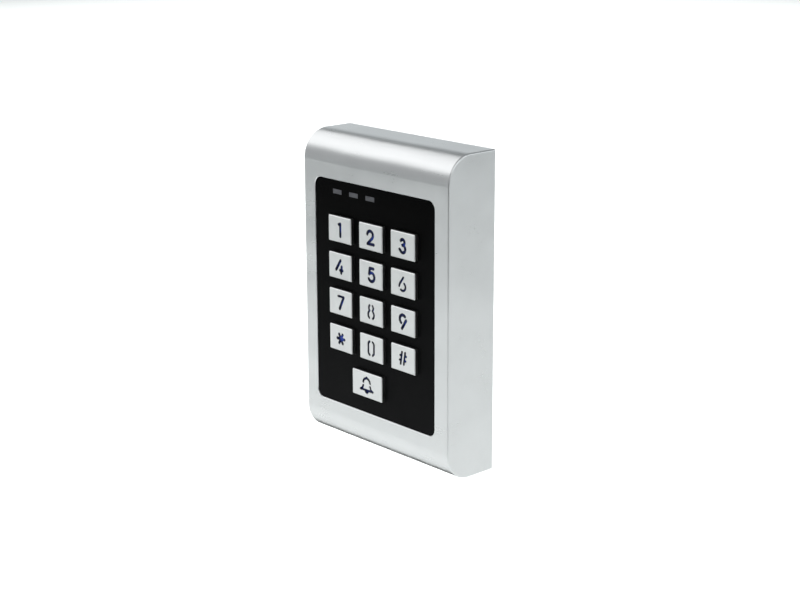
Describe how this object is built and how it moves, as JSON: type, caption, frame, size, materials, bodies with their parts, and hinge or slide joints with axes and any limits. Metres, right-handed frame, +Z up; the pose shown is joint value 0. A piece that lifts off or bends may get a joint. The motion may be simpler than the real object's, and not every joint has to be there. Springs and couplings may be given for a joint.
{
  "type": "keypad access reader",
  "caption": "Wall-mounted access reader: satin metal housing, black keypad panel, sprung metal keys with cut-through symbols, wide bell key, status windows, back plate.",
  "frame": {"origin": "centre of the face that lies on the wall", "axes": "+X to the right as seen from the front, +Z up, the front faces -Y"},
  "size_m": [0.08, 0.0244, 0.121],
  "materials": {
    "satin_metal": "satin",
    "panel_black": "satin",
    "key_metal": "satin",
    "blue_light": "translucent, satin",
    "window_grey": "translucent, satin",
    "silicone": "matte",
    "carbon": "matte",
    "seal_foam": "matte",
    "copper_wire": "enamelled",
    "board_green": "solder mask",
    "chip_black": "matte",
    "plated_steel": "zinc plated",
    "screw_steel": "plated",
    "led_white": "clear",
    "part_black": "moulded",
    "part_blue": "moulded",
    "part_white": "moulded",
    "can_metal": "bare"
  },
  "bodies": {
    "reader": {"front_housing": "satin_metal", "keypad_panel": "panel_black", "panel_seal": "seal_foam", "antenna_coil": "copper_wire", "rubber_keypad": "silicone", "contact_pills": "carbon", "status_light_guide": "window_grey", "status_leds": "led_white", "backlight_leds": "led_white", "main_board": "board_green", "board_screws": "screw_steel", "controller_chip": "chip_black", "reader_chip": "chip_black", "memory_chip": "chip_black", "voltage_regulator": "chip_black", "capacitors": "can_metal", "resistors": "chip_black", "crystal": "can_metal", "buzzer": "part_black", "relay": "part_blue", "wire_socket": "part_white", "tamper_switch": "part_black", "tamper_spring": "screw_steel", "back_seal": "seal_foam", "back_plate": "plated_steel", "cable_grommet": "seal_foam", "security_screw": "screw_steel"},
    "tamper_plunger": {"tamper_plunger": "part_white"},
    "key_1": {"key_1_cap": "key_metal", "key_1_light": "blue_light"},
    "key_2": {"key_2_cap": "key_metal", "key_2_light": "blue_light"},
    "key_3": {"key_3_cap": "key_metal", "key_3_light": "blue_light"},
    "key_4": {"key_4_cap": "key_metal", "key_4_light": "blue_light"},
    "key_5": {"key_5_cap": "key_metal", "key_5_light": "blue_light"},
    "key_6": {"key_6_cap": "key_metal", "key_6_light": "blue_light"},
    "key_7": {"key_7_cap": "key_metal", "key_7_light": "blue_light"},
    "key_8": {"key_8_cap": "key_metal", "key_8_light": "blue_light"},
    "key_9": {"key_9_cap": "key_metal", "key_9_light": "blue_light"},
    "key_star": {"key_star_cap": "key_metal", "key_star_light": "blue_light"},
    "key_0": {"key_0_cap": "key_metal", "key_0_light": "blue_light"},
    "key_hash": {"key_hash_cap": "key_metal", "key_hash_light": "blue_light"},
    "key_bell": {"key_bell_cap": "key_metal", "key_bell_light": "blue_light"}
  },
  "joints": [
    {"name": "press_key_1", "type": "slide", "parent": "reader", "child": "key_1", "axis": [0, 1, 0], "range_m": [0, 0.001], "stiffness_N_per_m": 1500, "deforming": ["rubber_keypad", "contact_pills"]},
    {"name": "press_key_2", "type": "slide", "parent": "reader", "child": "key_2", "axis": [0, 1, 0], "range_m": [0, 0.001], "stiffness_N_per_m": 1500, "deforming": ["rubber_keypad", "contact_pills"]},
    {"name": "press_key_3", "type": "slide", "parent": "reader", "child": "key_3", "axis": [0, 1, 0], "range_m": [0, 0.001], "stiffness_N_per_m": 1500, "deforming": ["rubber_keypad", "contact_pills"]},
    {"name": "press_key_4", "type": "slide", "parent": "reader", "child": "key_4", "axis": [0, 1, 0], "range_m": [0, 0.001], "stiffness_N_per_m": 1500, "deforming": ["rubber_keypad", "contact_pills"]},
    {"name": "press_key_5", "type": "slide", "parent": "reader", "child": "key_5", "axis": [0, 1, 0], "range_m": [0, 0.001], "stiffness_N_per_m": 1500, "deforming": ["rubber_keypad", "contact_pills"]},
    {"name": "press_key_6", "type": "slide", "parent": "reader", "child": "key_6", "axis": [0, 1, 0], "range_m": [0, 0.001], "stiffness_N_per_m": 1500, "deforming": ["rubber_keypad", "contact_pills"]},
    {"name": "press_key_7", "type": "slide", "parent": "reader", "child": "key_7", "axis": [0, 1, 0], "range_m": [0, 0.001], "stiffness_N_per_m": 1500, "deforming": ["rubber_keypad", "contact_pills"]},
    {"name": "press_key_8", "type": "slide", "parent": "reader", "child": "key_8", "axis": [0, 1, 0], "range_m": [0, 0.001], "stiffness_N_per_m": 1500, "deforming": ["rubber_keypad", "contact_pills"]},
    {"name": "press_key_9", "type": "slide", "parent": "reader", "child": "key_9", "axis": [0, 1, 0], "range_m": [0, 0.001], "stiffness_N_per_m": 1500, "deforming": ["rubber_keypad", "contact_pills"]},
    {"name": "press_key_star", "type": "slide", "parent": "reader", "child": "key_star", "axis": [0, 1, 0], "range_m": [0, 0.001], "stiffness_N_per_m": 1500, "deforming": ["rubber_keypad", "contact_pills"]},
    {"name": "press_key_0", "type": "slide", "parent": "reader", "child": "key_0", "axis": [0, 1, 0], "range_m": [0, 0.001], "stiffness_N_per_m": 1500, "deforming": ["rubber_keypad", "contact_pills"]},
    {"name": "press_key_hash", "type": "slide", "parent": "reader", "child": "key_hash", "axis": [0, 1, 0], "range_m": [0, 0.001], "stiffness_N_per_m": 1500, "deforming": ["rubber_keypad", "contact_pills"]},
    {"name": "press_key_bell", "type": "slide", "parent": "reader", "child": "key_bell", "axis": [0, 1, 0], "range_m": [0, 0.001], "stiffness_N_per_m": 1500, "deforming": ["rubber_keypad", "contact_pills"]},
    {"name": "tamper_release", "type": "slide", "parent": "reader", "child": "tamper_plunger", "axis": [0, 1, 0], "range_m": [0, 0.00115], "stiffness_N_per_m": 300, "springref_m": 0.002, "deforming": ["tamper_spring"]}
  ]
}
